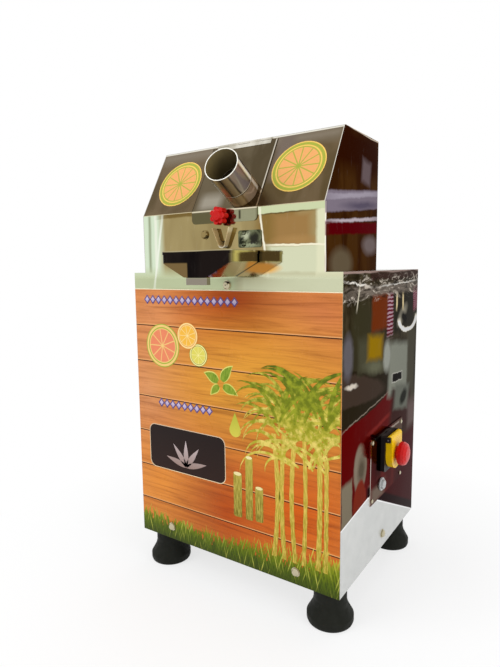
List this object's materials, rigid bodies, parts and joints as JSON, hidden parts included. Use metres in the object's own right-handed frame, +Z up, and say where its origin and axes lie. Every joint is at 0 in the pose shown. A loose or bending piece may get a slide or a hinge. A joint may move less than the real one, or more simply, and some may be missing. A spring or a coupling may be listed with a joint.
{
  "type": "sugarcane juicer",
  "caption": "Motor-driven cabinet sugarcane juicer: feed tube on a hinged door, geared fluted rollers, juice spout over a slide-off tray, side stop switch.",
  "frame": {"origin": "middle of the whole machine's footprint box, at floor level under the feet", "axes": "+X to the machine's right seen from the front, +Y to its rear, +Z up"},
  "size_m": [0.511, 0.5108, 0.8674],
  "materials": {
    "mirror_sheet": "mirror",
    "steel_tube": "polished",
    "printed_skin": "satin print",
    "inner_steel": "satin",
    "roller_steel": "machined",
    "gear_steel": "oiled",
    "motor_paint": "semi-gloss",
    "bolts": "polished",
    "black_rubber": "matte",
    "black_plastic": "satin",
    "red_plastic": "gloss",
    "yellow_plastic": "gloss",
    "green_plastic": "gloss",
    "grey_plastic": "gloss",
    "switch_pin_steel": "satin"
  },
  "bodies": {
    "frame": {"access_plate": "mirror_sheet", "base_pan": "inner_steel", "cable_gland": "black_plastic", "control_plate": "mirror_sheet", "drive_belt": "black_rubber", "fan_cowl": "motor_paint", "feed_chute": "inner_steel", "foot_bolts": "bolts", "front_panel": "mirror_sheet", "front_print": "printed_skin", "gearbox_housing": "motor_paint", "head_front": "mirror_sheet", "head_left_cheek": "mirror_sheet", "head_rear": "mirror_sheet", "head_right_cheek": "mirror_sheet", "head_top": "mirror_sheet", "hinge_fixed_leaf": "mirror_sheet", "hood_panel": "mirror_sheet", "inner_frame": "inner_steel", "juice_pan": "inner_steel", "juice_spout": "mirror_sheet", "left_side_panel": "mirror_sheet", "motor_body": "motor_paint", "panel_bolts": "bolts", "plate_screws": "bolts", "rear_panel": "mirror_sheet", "reset_collar": "grey_plastic", "right_side_panel": "mirror_sheet", "roller_bearings": "gear_steel", "roller_plates": "inner_steel", "rubber_feet": "black_rubber", "scrapers": "inner_steel", "switch_base": "black_plastic", "switch_pin": "switch_pin_steel", "terminal_box": "motor_paint", "tie_bars": "inner_steel", "top_deck": "mirror_sheet", "tray_pins": "inner_steel", "waste_chute": "inner_steel"},
    "door": {"feed_door": "mirror_sheet", "feed_tube": "steel_tube", "hinge_door_leaf": "mirror_sheet", "hinge_pin": "inner_steel"},
    "knob": {"door_knob": "red_plastic", "knob_stud": "inner_steel"},
    "tray": {"juice_tray": "mirror_sheet", "tray_strainer": "inner_steel"},
    "top_roller_set": {"top_roller": "roller_steel", "top_gear": "gear_steel"},
    "front_roller_set": {"front_roller": "roller_steel", "front_gear": "gear_steel"},
    "rear_roller_set": {"rear_roller": "roller_steel", "rear_gear": "gear_steel", "roller_pulley": "gear_steel"},
    "gearbox_output": {"output_shaft": "inner_steel", "output_pulley": "gear_steel"},
    "cover": {"switch_cover": "yellow_plastic"},
    "stop": {"stop_button": "red_plastic"},
    "start": {"start_button": "green_plastic"},
    "reset": {"reset_button": "grey_plastic"}
  },
  "joints": [
    {"name": "door_hinge", "type": "hinge", "parent": "frame", "child": "door", "pos_m": [-0.01985, -0.10117, 0.86412], "axis": [-1, 0, 0], "range_deg": [0, 100]},
    {"name": "knob_turn", "type": "hinge", "parent": "door", "child": "knob", "pos_m": [-0.01985, -0.1852, 0.7255], "axis": [0, -1, 0], "continuous": true},
    {"name": "tray_slide", "type": "slide", "parent": "frame", "child": "tray", "axis": [0, -1, 0], "range_m": [0, 0.09]},
    {"name": "rear_roller_spin", "type": "hinge", "parent": "frame", "child": "rear_roller_set", "pos_m": [-0.01985, -0.035, 0.73039], "axis": [1, 0, 0], "continuous": true},
    {"name": "top_roller_spin", "type": "hinge", "parent": "frame", "child": "top_roller_set", "pos_m": [-0.01985, -0.08862, 0.77538], "axis": [1, 0, 0], "continuous": true},
    {"name": "front_roller_spin", "type": "hinge", "parent": "frame", "child": "front_roller_set", "pos_m": [-0.01985, -0.11675, 0.71129], "axis": [1, 0, 0], "continuous": true},
    {"name": "gearbox_spin", "type": "hinge", "parent": "frame", "child": "gearbox_output", "pos_m": [-0.01985, -0.0202, 0.473], "axis": [1, 0, 0], "continuous": true},
    {"name": "cover_flip", "type": "hinge", "parent": "frame", "child": "cover", "pos_m": [0.22605, 0.0478, 0.303], "axis": [0, -1, 0], "range_deg": [0, 110]},
    {"name": "stop_press", "type": "slide", "parent": "cover", "child": "stop", "axis": [-1, 0, 0], "range_m": [0, 0.005], "stiffness_N_per_m": 600},
    {"name": "start_press", "type": "slide", "parent": "frame", "child": "start", "axis": [-1, 0, 0], "range_m": [0, 0.003], "stiffness_N_per_m": 300},
    {"name": "reset_press", "type": "slide", "parent": "frame", "child": "reset", "axis": [-1, 0, 0], "range_m": [0, 0.003], "stiffness_N_per_m": 300}
  ],
  "couplings": [
    {"joint": "top_roller_spin", "follows": "rear_roller_spin", "ratio": -1},
    {"joint": "front_roller_spin", "follows": "rear_roller_spin", "ratio": 1},
    {"joint": "gearbox_spin", "follows": "rear_roller_spin", "ratio": 2.1429}
  ]
}
